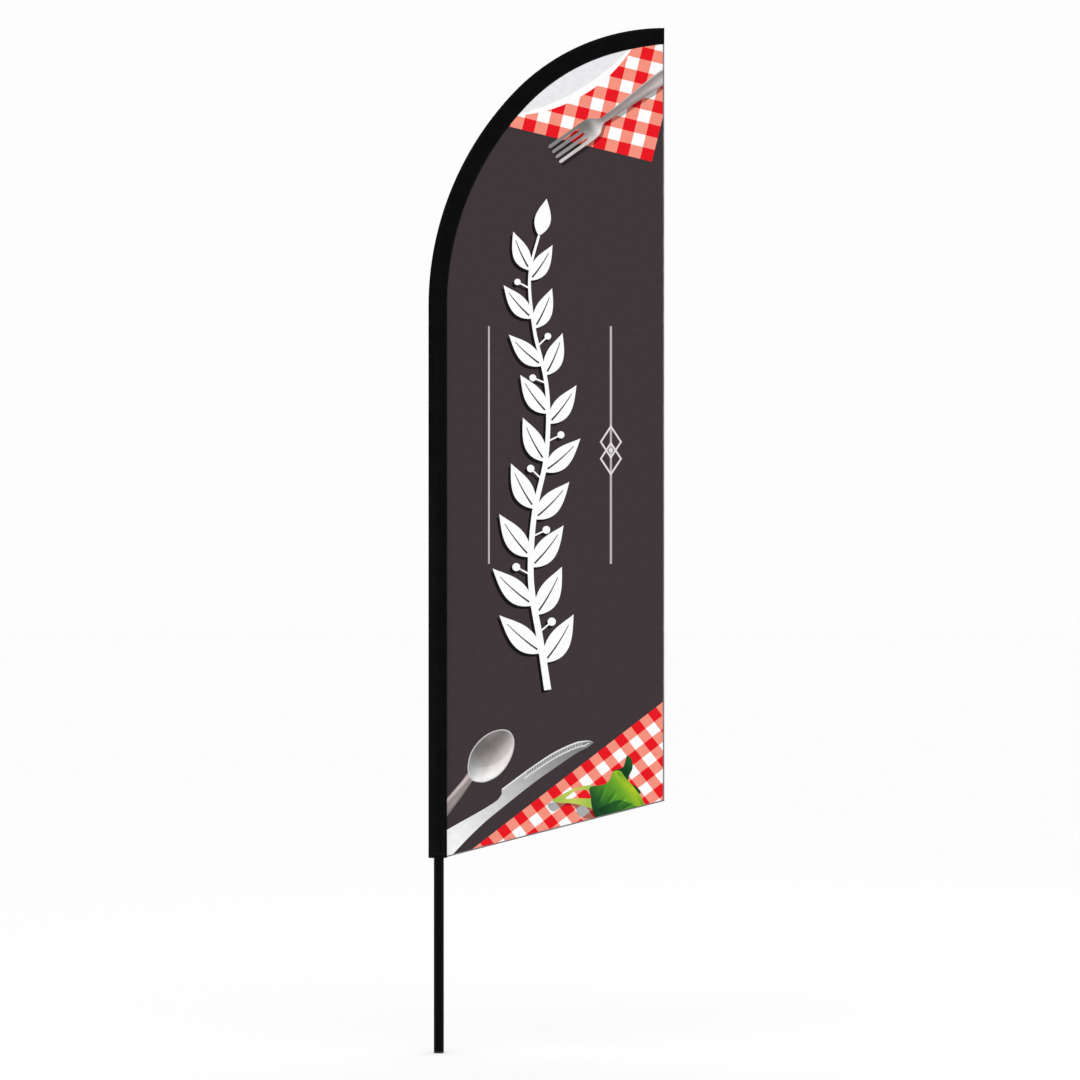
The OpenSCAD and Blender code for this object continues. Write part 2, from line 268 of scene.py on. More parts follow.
class Nodes:
    """A short way to write a Principled material's node tree."""

    def __init__(self, name):
        self.material = bpy.data.materials.new(name)
        self.material.use_nodes = True
        self.tree = self.material.node_tree
        self.shader = self.tree.nodes["Principled BSDF"]
        self.place = self.tree.nodes.new("ShaderNodeTexCoord").outputs["Object"]

    def set(self, **values):
        for key, value in values.items():
            self.shader.inputs[key.replace("_", " ")].default_value = value

    def node(self, kind, inputs=None, **settings):
        made = self.tree.nodes.new("ShaderNode" + kind)
        for key, value in settings.items():
            setattr(made, key, value)
        for key, value in (inputs or {}).items():
            if isinstance(value, bpy.types.NodeSocket):
                self.tree.links.new(value, made.inputs[key])
            else:
                made.inputs[key].default_value = value
        return made

    def link(self, output, key):
        self.tree.links.new(output, self.shader.inputs[key])

    def done(self, colour, roughness, **values):
        """Links the colour and roughness, sets the rest and gives the material."""
        self.link(colour, "Base Color")
        if roughness:
            self.link(roughness, "Roughness")
        self.set(**values)
        return self.material

    def noise(self, scale, detail=3.0, stretch=(1, 1, 1)):
        moved = self.node("Mapping", {"Vector": self.place, "Scale": stretch})
        return self.node("TexNoise", {"Vector": moved.outputs[0], "Scale": scale,
                                      "Detail": detail}).outputs["Fac"]

    def wave(self, pitch, direction):
        """Stripes of a pitch in metres along one axis."""
        return self.node("TexWave", {"Vector": self.place, "Scale": 1 / (WAVE_UNIT * pitch)},
                         bands_direction=direction).outputs["Fac"]

    def math(self, operation, a, b=0.0):
        return self.node("Math", {0: a, 1: b}, operation=operation).outputs[0]

    def ramp(self, factor, low, high, start=0.3, end=0.7):
        return self.node("MapRange", {"Value": factor, "From Min": start, "From Max": end,
                                      "To Min": low, "To Max": high}).outputs["Result"]

    def mix(self, factor, a, b, blend="MIX"):
        return self.node("Mix", {0: factor, 6: a, 7: b}, data_type="RGBA",
                         blend_type=blend).outputs[2]

    def bump(self, height, distance, strength=1.0, under=None):
        inputs = {"Height": height, "Distance": distance, "Strength": strength}
        if under is not None:
            inputs["Normal"] = under
        made = self.node("Bump", inputs)
        self.link(made.outputs[0], "Normal")
        return made.outputs[0]


def rgb(r, g, b):
    """A linear colour from 8-bit display values."""
    def linear(v):
        v /= 255
        return v / 12.92 if v <= 0.04045 else ((v + 0.055) / 1.055) ** 2.4
    return (linear(r), linear(g), linear(b), 1.0)


def knit(m, pitch, depth):
    """Bump of a fine warp knit: loops in columns, with a slower wobble."""
    columns = m.wave(pitch, "X")
    rows = m.wave(pitch * 0.8, "Z")
    loops = m.math("MULTIPLY", columns, rows)
    m.bump(loops, depth, 0.6, under=m.bump(m.noise(38, 2), 0.0006, 0.25))
    return loops


def printed_cloth():
    """Dye-printed knitted polyester: the print's colours come from the mesh."""
    m = Nodes("printed_polyester")
    print_colour = m.node("Attribute", attribute_name="Print").outputs["Color"]
    loops = knit(m, 0.0011, 0.00012)
    mottle = m.ramp(m.noise(55, 4), 0.94, 1.04)
    dyed = m.mix(1.0, print_colour, m.node("CombineColor", {"Red": mottle, "Green": mottle,
                 "Blue": mottle}).outputs[0], "MULTIPLY")
    return m.done(m.mix(m.ramp(loops, 0.0, 0.008, 0.0, 1.0), dyed, rgb(190, 186, 186)),
                  m.ramp(m.noise(120, 2), 0.62, 0.74), Specular_IOR_Level=0.04)


def woven_cloth(name, base, lift, pitch, depth, rough=(0.62, 0.8), sheen=0.02):
    """Plain woven cloth or webbing: crossed yarns, worn a little paler on their crowns."""
    m = Nodes(name)
    warp = m.wave(pitch, "X")
    weft = m.wave(pitch, "Z")
    depth_wise = m.wave(pitch, "Y")
    yarns = m.math("MAXIMUM", m.math("MULTIPLY", warp, weft), m.math("MULTIPLY", depth_wise, weft))
    m.bump(yarns, depth, 0.7, under=m.bump(m.noise(45, 3), 0.0005, 0.3))
    worn = m.math("MULTIPLY", m.ramp(m.noise(26, 5), 0.0, 1.0, 0.45, 0.75), yarns)
    return m.done(m.mix(worn, base, lift), m.ramp(m.noise(90, 3), *rough),
                  Specular_IOR_Level=0.06, Sheen_Weight=sheen, Sheen_Roughness=0.5)


def hook_and_loop():
    """A napped fastener: a dense field of short fibres."""
    m = Nodes("hook_and_loop_nap")
    nap = m.node("TexVoronoi", {"Vector": m.place, "Scale": 900.0}).outputs["Distance"]
    m.bump(nap, 0.0006, 0.9)
    return m.done(m.mix(nap, rgb(14, 14, 15), rgb(52, 52, 55)), None, Roughness=0.9,
                  Specular_IOR_Level=0.2, Sheen_Weight=0.3, Sheen_Roughness=0.4)


def powder_coat(name, base, lift):
    """Black powder coat: orange peel and rubbed streaks along the tube."""
    m = Nodes(name)
    peel = m.noise(900, 2)
    streaks = m.noise(60, 4, stretch=(6, 6, 0.15))
    m.bump(peel, 0.00012, 0.35)
    rubbed = m.ramp(streaks, 0.0, 1.0, 0.52, 0.74)
    return m.done(m.mix(rubbed, base, lift), m.ramp(m.noise(24, 4), 0.34, 0.48),
                  Specular_IOR_Level=0.05)


def drawn_metal(name, base, dark, rough=(0.22, 0.38)):
    """Drawn or turned metal: fine marks round the axis, with handling stains."""
    m = Nodes(name)
    marks = m.noise(420, 3, stretch=(0.6, 0.6, 12))
    m.bump(marks, 0.00006, 0.4)
    return m.done(m.mix(m.ramp(m.noise(40, 4), 0.0, 0.6), base, dark), m.ramp(marks, *rough),
                  Metallic=1.0)


def moulded(name, base, lift, rough=(0.42, 0.55), grain=700):
    """Moulded plastic or rubber: fine spark grain and slight scuffs."""
    m = Nodes(name)
    m.bump(m.noise(grain, 2), 0.00008, 0.4)
    scuffs = m.ramp(m.noise(70, 5), 0.0, 1.0, 0.55, 0.8)
    return m.done(m.mix(scuffs, base, lift), m.ramp(m.noise(110, 3), *rough),
                  Specular_IOR_Level=0.45)


def glass_fibre():
    """Pultruded rod: resin gloss over fibres that run along it."""
    m = Nodes("pultruded_fibre")
    fibres = m.noise(240, 4, stretch=(8, 8, 0.2))
    m.bump(fibres, 0.0001, 0.35)
    return m.done(
        m.mix(m.ramp(fibres, 0.0, 0.8, 0.4, 0.75), rgb(20, 20, 22), rgb(58, 58, 60)),
        m.ramp(fibres, 0.24, 0.40), Specular_IOR_Level=0.5, Coat_Weight=0.25,
        Coat_Roughness=0.2)


CLOTH = printed_cloth()
SLEEVE_CLOTH = woven_cloth("sleeve_polyester", rgb(2, 2, 3), rgb(12, 12, 13), 0.0009,
                           0.00012)
WEBBING = woven_cloth("webbing_weave", rgb(14, 14, 15), rgb(40, 40, 42), 0.0022, 0.0003)
BINDING = woven_cloth("binding_weave", rgb(120, 116, 118), rgb(168, 165, 167), 0.0008,
                      0.00012)
THREAD = woven_cloth("thread_twist", rgb(22, 22, 24), rgb(58, 58, 60), 0.0007, 0.0001,
                     rough=(0.4, 0.55), sheen=0.2)
GREY_THREAD = woven_cloth("binding_thread", rgb(138, 134, 136), rgb(180, 177, 179), 0.0007,
                          0.0001, rough=(0.4, 0.55), sheen=0.2)
NAP = hook_and_loop()
POWDER = powder_coat("black_powder_coat", rgb(2, 2, 3), rgb(13, 13, 14))
BARE_METAL = drawn_metal("drawn_aluminium", rgb(196, 198, 200), rgb(120, 122, 124))
STEEL = drawn_metal("ferrule_steel", rgb(150, 152, 154), rgb(84, 86, 88), (0.25, 0.42))
BLACK_STEEL = drawn_metal("blackened_steel", rgb(70, 71, 73), rgb(38, 38, 40), (0.3, 0.5))
ACETAL = moulded("black_acetal", rgb(15, 15, 16), rgb(44, 44, 46))
NYLON = moulded("black_nylon", rgb(18, 18, 20), rgb(48, 48, 50), (0.5, 0.62))
RUBBER = moulded("cap_rubber", rgb(16, 16, 16), rgb(46, 46, 46), (0.7, 0.85), 500)
FIBRE = glass_fibre()

CAD_LOOKS = {
    "foot_bush": ACETAL, "thrust_washer": NYLON, "retaining_ring": BLACK_STEEL,
    "lower_tube": POWDER, "stop_ring": BARE_METAL, "lower_spigot": BARE_METAL,
    "lower_rivets": BLACK_STEEL, "middle_tube": POWDER, "reducer": NYLON,
    "reducer_rivets": BLACK_STEEL, "upper_tube": FIBRE, "upper_band": STEEL,
    "tip_ferrule": STEEL, "tip_collar": NYLON, "tip_rod": FIBRE, "tip_cap": RUBBER,
}


def dress_cad_nodes():
    for name, material in CAD_LOOKS.items():
        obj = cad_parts[name]
        if not obj.material_slots:
            obj.data.materials.append(material)
        for slot in obj.material_slots:
            slot.material = material


# ---------------------------------------------------------------- how the panel hangs
HANG_STEP = 0.024
EDGE_BACK = 0.0005
# Rough lengths of the free edges, which set how many points each gets.
FLY_LEN = 2.25
PANEL_W = 0.65


def outline_points(step):
    """The panel's outline, anticlockwise seen from the front, as (x, z) points."""
    bite = SEAM_LAP - EDGE_BACK
    left, right = SEAM_X - bite, FLY_X - EDGE_BACK
    outline = []
    for s in np.linspace(0, FOLD_LEN, int(FOLD_LEN / step) + 1):
        p = along(s, sleeve_width(heading_at(s)) - bite)
        if p[0] < right - step / 3 and p[1] > low_edge_z(left) + step / 3:
            outline.append(p)
    high, low = TOP - sleeve_width(math.pi / 2) + bite, low_edge_z(right) + EDGE_BACK
    outline += [(right, z) for z in np.linspace(high, low, int(FLY_LEN / step) + 1)]
    outline += [(x, low_edge_z(x) + EDGE_BACK)
                for x in np.linspace(right, left, int(PANEL_W / step) + 1)[1:]]
    return np.array(outline)[::-1]


def inside(points, loops):
    """Which points lie inside a set of loops, by the even-odd rule."""
    hit = np.zeros(len(points), bool)
    for loop in loops:
        low, high = loop.min(0), loop.max(0)
        near = np.nonzero(((points >= low) & (points <= high)).all(1))[0]
        x, z = points[near, 0], points[near, 1]
        odd = np.zeros(len(near), bool)
        for a, b in zip(loop, np.roll(loop, -1, 0)):
            if a[1] == b[1]:
                continue
            crosses = (a[1] > z) != (b[1] > z)
            at = a[0] + (z - a[1]) / (b[1] - a[1]) * (b[0] - a[0])
            odd ^= crosses & (x < at)
        hit[near] ^= odd
    return hit


def triangulated(points, segments):
    """Constrained Delaunay triangles, in millimetres, as (vertices, triangles)."""
    flat = [Vector((float(p[0]), float(p[1]))) for p in points]
    made = geometry.delaunay_2d_cdt(flat, segments, [], 0, 1e-3, False)
    verts = np.array([tuple(v) for v in made[0]])
    return verts, np.array([tuple(f) for f in made[2]])


def grid_points(low, high, step):
    """A staggered grid of points over a rectangle."""
    rows = []
    for i, z in enumerate(np.arange(low[1], high[1], step * 0.866)):
        xs = np.arange(low[0] + (i % 2) * step / 2, high[0], step)
        rows.append(np.stack([xs, np.full_like(xs, z)], 1))
    return np.concatenate(rows)


def loop_segments(start, count):
    return [(start + i, start + (i + 1) % count) for i in range(count)]


def hang_by_rule(x, z):
    """A gentle hang without simulation: soft waves that grow towards the fly."""
    free = ease(seam_distance(x, z) / 0.30)
    drag = (x - SEAM_X) * 0.55 + (TOP - z)
    return free * (0.0034 * np.sin(drag * 7.1 + 0.6) + 0.0017 * np.sin(drag * 13.0 + x * 6)
                   + 0.0012 * np.sin(x * 11.0 - z * 3.0))


CLOTH_SETTINGS = {
    "quality": 6, "mass": 0.12, "vertex_group_mass": "held", "tension_stiffness": 40,
    "compression_stiffness": 40, "shear_stiffness": 18, "bending_stiffness": 0.6,
    "air_damping": 2.0,
}
HANG_FRAMES = 36
HANG_GRAVITY = 0.35
WIND_STRENGTH = 6.0
PINNED = 0.002


def simulated_hang():
    """Lets the panel hang from its seam in a light breeze, and returns the points (x, z)
    with how far each moved off the flat."""
    rim = outline_points(HANG_STEP) / MM
    grid = grid_points(rim.min(0), rim.max(0), HANG_STEP / MM)
    keep = inside(grid, [rim])
    gap = np.array([np.hypot(*(rim - g).T).min() for g in grid[keep]])
    grid = grid[keep][gap > HANG_STEP / MM * 0.5]
    verts, tris = triangulated(np.concatenate([rim, grid]), loop_segments(0, len(rim)))
    x, z = verts[:, 0] * MM, verts[:, 1] * MM
    start = hang_by_rule(x, z) * 0.5
    mesh = bpy.data.meshes.new("hang")
    mesh.from_pydata([(a, b, c) for a, b, c in zip(x, start, z)], [],
                     [tuple(map(int, t)) for t in tris])
    cloth = bpy.data.objects.new("hang", mesh)
    scene = bpy.context.scene
    scene.collection.objects.link(cloth)
    held = cloth.vertex_groups.new(name="held")
    for i in np.nonzero(seam_distance(x, z) < PINNED)[0]:
        held.add([int(i)], 1.0, "REPLACE")
    sim = cloth.modifiers.new("Cloth", "CLOTH")
    for name, value in CLOTH_SETTINGS.items():
        setattr(sim.settings, name, value)
    sim.settings.effector_weights.gravity = HANG_GRAVITY
    sim.collision_settings.use_collision = False
    bpy.ops.object.effector_add(type="WIND", location=(0.9, -2.0, 1.4),
                                rotation=(math.radians(-82), 0, math.radians(18)))
    wind = bpy.context.object
    wind.field.strength = WIND_STRENGTH
    wind.field.noise = 0.0
    wind.field.seed = 3
    scene.frame_start, scene.frame_end = 1, HANG_FRAMES
    for number in range(1, HANG_FRAMES + 1):
        scene.frame_set(number)
    shaped = cloth.evaluated_get(bpy.context.evaluated_depsgraph_get())
    off = np.array([v.co.y for v in shaped.data.vertices])
    for obj in (cloth, wind):
        bpy.data.objects.remove(obj)
    scene.frame_set(1)
    return x, z, off


HANG_LIMIT = 0.0075
FIELD_STEP = 0.02
FIELD_BEFORE = 0.04
FIELD_AFTER = 0.06
FIELD_SPREAD = 0.018


def hang_field():
    """A grid of how far the panel moves off the flat, smoothed, from the simulation."""
    xs = np.arange(SEAM_X - FIELD_BEFORE, FLY_X + FIELD_AFTER, FIELD_STEP)
    zs = np.arange(MOUTH_Z - FIELD_BEFORE, TOP + FIELD_AFTER, FIELD_STEP)
    x, z, off = simulated_hang()
    rows = []
    for column in xs:
        apart = (x[None] - column) ** 2 + (z[None] - zs[:, None]) ** 2
        near = np.exp(-apart / (2 * FIELD_SPREAD ** 2)) + 1e-12
        rows.append((near * off[None]).sum(1) / near.sum(1))
    return xs[0], zs[0], np.array(rows)


FIELD_X, FIELD_Z, FIELD = hang_field()


def cubic_weights(t):
    """Weights of a cubic B-spline, which also smooths the field."""
    return ((1 - t) ** 3 / 6, (3 * t ** 3 - 6 * t ** 2 + 4) / 6,
            (-3 * t ** 3 + 3 * t ** 2 + 3 * t + 1) / 6, t ** 3 / 6)


def raw_hang(x, z):
    u = (x - FIELD_X) / FIELD_STEP
    w = (z - FIELD_Z) / FIELD_STEP
    i = np.clip(np.floor(u).astype(int), 1, FIELD.shape[0] - 3)
    k = np.clip(np.floor(w).astype(int), 1, FIELD.shape[1] - 3)
    total = np.zeros_like(u)
    for a, wa in enumerate(cubic_weights(np.clip(u - i, 0, 1))):
        for b, wb in enumerate(cubic_weights(np.clip(w - k, 0, 1))):
            total += wa * wb * FIELD[i + a - 1, k + b - 1]
    return total


HANG_SCALE = HANG_LIMIT / max(1e-6, np.abs(FIELD[1:-1, 1:-1]).max())


def hang(x, z):
    """How far the panel stands off the flat at (x, z); nothing at the seam."""
    x, z = np.asarray(x, float), np.asarray(z, float)
    return raw_hang(x, z) * HANG_SCALE * ease(seam_distance(x, z) / 0.10)


# ---------------------------------------------------------------- the print
def colour(r, g, b):
    """A print colour, linear and without alpha, from 8-bit display values."""
    return np.array(rgb(r, g, b)[:3])


CHARCOAL = colour(62, 53, 56)
INK = colour(20, 15, 17)
WHITE = colour(252, 252, 252)
RULE_GREY = colour(188, 180, 182)
RULE_PALE = colour(226, 221, 223)
RED = colour(231, 22, 33)
PINK = colour(244, 146, 127)
PLATE = colour(233, 233, 236)


def tone(level, warm=0.0):
    """A grey of an 8-bit level, or a slightly brown one."""
    return colour(level, level * (1 - 0.065 * warm), level * (1 - 0.08 * warm))


def divided(path, step, closed=False):
    """A path with points added, so that no stretch is longer than step."""
    ends = np.roll(path, -1, 0) if closed else path[1:]
    parts = []
    for a, b in zip(path, ends):
        count = max(1, math.ceil(np.hypot(*(b - a)) / step))
        parts.append(a + (b - a) * (np.arange(count) / count)[:, None])
    return np.concatenate(parts if closed else parts + [path[-1:]])


class Print:
    """Layers of shapes, in millimetres, that are painted over each other."""

    def __init__(self):
        self.layers = []
        self.lines = []
        self.dots = []

    def add(self, loops, paint):
        """loops is one loop or several, by the even-odd rule."""
        if not isinstance(loops, list):
            loops = [loops]
        loops = [divided(np.asarray(p, float), 6.0, closed=True) for p in loops]
        self.layers.append((loops, paint))

    def line(self, a, b):
        self.lines.append(divided(np.array([a, b], float), 4.0))

    def fill(self, loop, step):
        """Extra points inside a loop, for colours that change across it."""
        loop = np.asarray(loop, float)
        grid = grid_points(loop.min(0), loop.max(0), step)
        self.dots.append(grid[inside(grid, [loop])])


def flat(one):
    return lambda under, corners, middles: np.broadcast_to(one, corners.shape[:-1] + (3,))


SHADOW = 0.42
SPRIG_SHADOW = np.array([-8.0, -8.0])


def darker(factor):
    return lambda under, corners, middles: under * factor


def blended(t, stops):
    """The colours at distances t between stops, which are (distance, colour)."""
    at = [d for d, _ in stops]
    return np.stack([np.interp(t, at, [c[k] for _, c in stops]) for k in range(3)], -1)


def shaded(origin, direction, *stops):
    """A blend along a direction: stops are a distance, its colour, and so on."""
    stops = list(zip(stops[::2], stops[1::2]))
    return lambda under, corners, middles: blended((corners - origin) @ unit(direction), stops)


def sections(place, stations):
    """A blend between cross-sections: stations are (distance along, [(across, colour)])."""
    def paint(under, corners, middles):
        off = corners - place.origin
        s, t = off @ place.along, off @ place.across
        rows = [blended(t, stops) for _, stops in stations]
        blend = rows[0]
        for (low, _), (high, _), row in zip(stations, stations[1:], rows[1:]):
            share = np.clip((s - low) / (high - low), 0, 1)[..., None]
            blend = blend * (1 - share) + row * share
        return blend
    return paint


def metal(place, *rows):
    """Greys in cross-sections: each row is distance along, warmth, then pairs of distance
    across and 8-bit level."""
    return sections(place, [(at, [(d, tone(level, warm)) for d, level in
                                  zip(levels[::2], levels[1::2])])
                            for at, warm, *levels in rows])


class Place:
    """A local frame in the print: along and across an axis, in millimetres."""

    def __init__(self, x, z, degrees):
        self.origin = np.array([x, z], float)
        a = math.radians(degrees)
        self.along = np.array([math.cos(a), math.sin(a)])
        self.across = np.array([-math.sin(a), math.cos(a)])

    def __call__(self, *points):
        p = np.asarray(points, float).reshape(-1, 2)
        return self.origin + p[:, :1] * self.along + p[:, 1:] * self.across


def circle(centre, radius, count=40, squash=1.0, degrees=0):
    t = np.linspace(0, 2 * math.pi, count, endpoint=False)
    place = Place(*centre, degrees)
    return place(*np.stack([radius * np.cos(t), radius * squash * np.sin(t)], 1))


def smooth(points, closed=True, steps=6):
    """A Catmull-Rom curve through points."""
    p = np.asarray(points, float)
    n = len(p)
    out = []
    for i in range(n if closed else n - 1):
        a, b, c, d = [p[(i + k) % n] if closed else p[min(max(i + k, 0), n - 1)]
                      for k in (-1, 0, 1, 2)]
        for t in np.arange(steps) / steps:
            out.append(0.5 * (2 * b + (c - a) * t + (2 * a - 5 * b + 4 * c - d) * t ** 2
                              + (3 * b - a - 3 * c + d) * t ** 3))
    if not closed:
        out.append(p[-1])
    return np.array(out)


def clipped_to(a, b, loop):
    """The stretch of line a-b inside a convex loop, or None."""
    centre = loop.mean(0)
    low, high = 0.0, 1.0
    for p, q in zip(loop, np.roll(loop, -1, 0)):
        side = np.array([p[1] - q[1], q[0] - p[0]])
        if side @ (centre - p) < 0:
            side = -side
        start, change = side @ (a - p), side @ (b - a)
        if abs(change) < 1e-9:
            if start < 0:
                return None
            continue
        t = -start / change
        low, high = (max(low, t), high) if change > 0 else (low, min(high, t))
    return (a + low * (b - a), a + high * (b - a)) if high - low > 1e-6 else None


def gingham(art, loop, place, cell, reach):
    """Woven check over a convex loop; the lattice starts half a cell before place."""
    loop = np.asarray(loop, float)
    far = reach * cell
    for at in (np.arange(-reach, reach + 1) - 0.5) * cell:
        for ends in (((at, -far), (at, far)), ((-far, at), (far, at))):
            cut = clipped_to(*place(*ends), loop)
            if cut is not None:
                art.line(*cut)

    def paint(under, corners, middles):
        off = middles - place.origin
        u = np.floor(off @ place.along / cell + 0.5).astype(int) % 2
        v = np.floor(off @ place.across / cell + 0.5).astype(int) % 2
        cells = np.where((u == 0) & (v == 0), 0, np.where((u == 1) & (v == 1), 1, 2))
        chosen = np.array([RED, WHITE, PINK])[cells]
        return np.repeat(chosen[:, None], 3, 1)
    art.add(loop, paint)


def rules(art):
    """The two thin upright rules, one with a pair of lozenges at its middle."""
    low, high = 1455, 2162
    for x, half in ((149, 2.6), (512, 3.2)):
        art.add(np.array([[x - half, low], [x + half, low], [x + half, high],
                          [x - half, high]]), flat(RULE_GREY))
    x, wide, tall, stroke = 512, 33, 51, 6.5
    for z in (1818, 1768):
        rings = [np.array([[x, z - h], [x + w, z], [x, z + h], [x - w, z]])
                 for w, h in ((wide, tall), (wide - stroke * 0.9, tall - stroke * 1.5))]
        art.add(rings, flat(RULE_PALE))
    art.add(circle((x, 1793), 7, 16), flat(RULE_PALE))


def strip(place, length, bend, t, half, back):
    """A strip along a bent middle line; back picks the points of its return side."""
    middle = bend * length * t * t
    out, home = [np.stack([length * t, middle + side * half], 1) for side in (1, -1)]
    return place(*np.concatenate([out, home[back]]))


def leaf(place, length, width, bend=0.0):
    """A pointed leaf along a local frame, bent to one side."""
    t = np.linspace(0, 1, 21)
    half = width * np.sin(math.pi * t ** 0.8) ** 1.05
    return strip(place, length, bend, t, half, slice(-2, 0, -1))


def rib(place, length, bend, half):
    """The thin line left open along a leaf's middle."""
    t = np.linspace(0.10, 0.80, 7)
    return strip(place, length, bend, t, half * (1 - t * 0.8), slice(None, None, -1))


STEM_KNOTS = [(324, 1080), (303, 1220), (274, 1406), (284, 1602), (320, 1779), (322, 1975),
              (284, 2152), (270, 2310), (298, 2432)]


def sprig(art):
    """A leafy sprig runs up the panel, white with a dark drop shadow."""
    line = smooth(STEM_KNOTS, closed=False, steps=10)
    run = walked(line)
    total = run[-1]

    def at(share):
        p, q, o = point_at(line, run, np.clip(share * total + np.array([0, 5, -5]), 0, total))
        return p, math.degrees(math.atan2(*(q - o)[::-1]))

    shapes, ribs = [], []
    shares = np.linspace(0, 1, 60)
    spots = [at(s) for s in shares]
    half = 10.5 - 7.0 * shares
    edges = [[p + side * h * np.array([-math.sin(math.radians(a)), math.cos(math.radians(a))])
              for (p, a), h in zip(spots, half)] for side in (1, -1)]
    shapes.append(np.array(edges[0] + edges[1][::-1]))
    pairs = 9
    for i in range(pairs):
        share = 0.06 + 0.84 * i / (pairs - 1)
        size = 1 - 0.30 * share
        for side in (1, -1):
            start = share + (0.022 if side > 0 else 0.0)
            p, a = at(start)
            place = Place(*p, a + side * (50 - 10 * share))
            length, bend = 170 * size, side * -0.16
            shapes.append(leaf(place, length, 35 * size, bend))
            ribs.append(rib(place, length, bend, 3.0))
            if i % 2 == (side > 0) and i < pairs - 1:
                p, a = at(start + 0.066)
                stalk = Place(*p, a + side * 60)
                reach = 44 * size
                shapes.append(stalk((0, -2.6), (reach, -2.2), (reach, 2.2), (0, 2.6)))
                shapes.append(circle(stalk((reach + 7, 0))[0], 12.5 * size, 20))
    p, a = at(1.0)
    shapes.append(leaf(Place(*p, a), 112, 24, 0.05))
    for shape in shapes:
        art.add(shape + SPRIG_SHADOW, flat(INK))
    for shape in shapes:
        art.add(shape, flat(WHITE))
    for shape in ribs:
        art.add(shape, flat(CHARCOAL))


PLATE_RIM = ((203, 3233), 445)
PLATE_WELL = ((91, 3418), 641)


def table_corner(art):
    """Top: a plate on a gingham cloth; fork() adds the fork that runs off the fly."""
    cell = 36.2
    place = Place(620.5, 2673.5, -13.9)
    corner = place((cell / 2, -cell / 2))[0]
    loop = np.array([corner, place((cell / 2, 9 * cell))[0], [560, 3060], [150, 3000],
                     place((-14 * cell, -cell / 2))[0]])
    gingham(art, loop, place, cell, 18)
    art.add(circle(*PLATE_RIM, count=110), flat(WHITE))
    art.add(circle(*PLATE_WELL, count=150), flat(PLATE))


def fork(art):
    place = Place(482, 2771, 35.4)
    shadow = Place(489, 2762, 35.4)
    wide, tip, root, tine = 32.0, -171.0, -60.0, 9.8
    gap = (2 * wide - 4 * tine) / 3
    head = []
    for i in range(4):
        low = -wide + i * (tine + gap)
        head += [(tip + 5, low), (tip, low + tine * 0.3), (tip, low + tine * 0.7),
                 (tip + 5, low + tine)]
        if i < 3:
            deep = root + (8 if i == 1 else 0)
            head += [(deep - 14, low + tine), (deep - 4, low + tine + gap * 0.15),
                     (deep, low + tine + gap * 0.5), (deep - 4, low + tine + gap * 0.85),
                     (deep - 14, low + tine + gap)]
    shoulder = smooth([(root, wide), (-40, wide * 0.99), (-22, wide * 0.86), (-8, wide * 0.52),
                       (0, 11), (10, 8)], closed=False, steps=4)
    outline = np.concatenate([head, shoulder, shoulder[::-1] * [1, -1]])
    handle = np.array([(6, 8.5), (60, 11), (110, 14.5), (160, 18), (230, 22), (290, 25),
                       (290, -24), (230, -20), (160, -17), (110, -14), (60, -12), (6, -8.5)])
    art.fill(place(*outline), 2.6)
    art.fill(place(*handle), 3.4)
    for rim in ([(6, 6), (60, 7.5), (110, 10.5), (160, 14), (230, 17.5), (290, 21)],
                [(6, -5), (60, -9), (110, -10), (160, -12), (230, -15), (290, -19)]):
        for a, b in zip(place(*rim), place(*rim)[1:]):
            art.line(a, b)
    art.add([shadow(*outline)], darker(SHADOW))
    art.add([shadow(*np.maximum(handle, (10, -99)))], darker(SHADOW))
    art.add(place(*outline), metal(place,
            (-170, 0.4, -32, 190, -22, 165, 0, 130, 32, 150),
            (-60, 0.5, -32, 206, -26, 213, -14, 170, 0, 142, 14, 122, 32, 118),
            (-38, 0.4, -32, 218, -22, 198, -6, 150, 8, 124, 20, 110, 32, 120),
            (-18, 0.3, -30, 246, -16, 228, 0, 190, 14, 162, 28, 142),
            (4, 1.0, -10, 200, 0, 152, 9, 132)))
    for i, level in enumerate((196, 140, 128, 122)):
        low = -wide + i * (tine + gap)
        blade = [(tip + 2, low + tine * 0.15), (root - 16, low + tine * 0.1),
                 (root - 16, low + tine * 0.9), (tip + 2, low + tine * 0.85)]
        centre = low + tine / 2
        art.add(place(*blade), metal(place,
                (tip, 0.3, centre - 4, level + 24, centre, level, centre + 4, level + 30),
                (root, 0.6, centre - 4, level + 4, centre, level + 6, centre + 4, level)))
    art.add(place(*handle), metal(place,
            (10, 0.9, -9, 170, -4, 158, 2, 137, 7, 131, 9, 160),
            (60, 0.9, -12, 150, -9, 141, -3, 158, 3, 143, 8, 132, 10, 205),
            (110, 0.9, -14, 150, -10, 146, -3, 174, 4, 152, 11, 137, 14, 214),
            (160, 0.8, -17, 130, -12, 150, -5, 188, 3, 160, 12, 141, 16, 150, 18, 232),
            (210, 0.7, -20, 134, -14, 178, -9, 208, 0, 184, 12, 148, 17, 143, 21, 236)))


def place_setting(art):
    """Bottom: the gingham cloth below the spoon and knife, which the leaf lies on; spoon(),
    knife() and herb_leaf() add those.
    """
    cell = 31.5
    place = Place(643.5, 1006.5, 37.7)
    edge = cell / 2
    corner_a = place((-22 * cell, edge))[0]
    corner_b = place((4 * cell, edge))[0]
    loop = np.array([corner_a, corner_b, [760, 560], [60, 500]])
    gingham(art, loop, place, cell, 24)


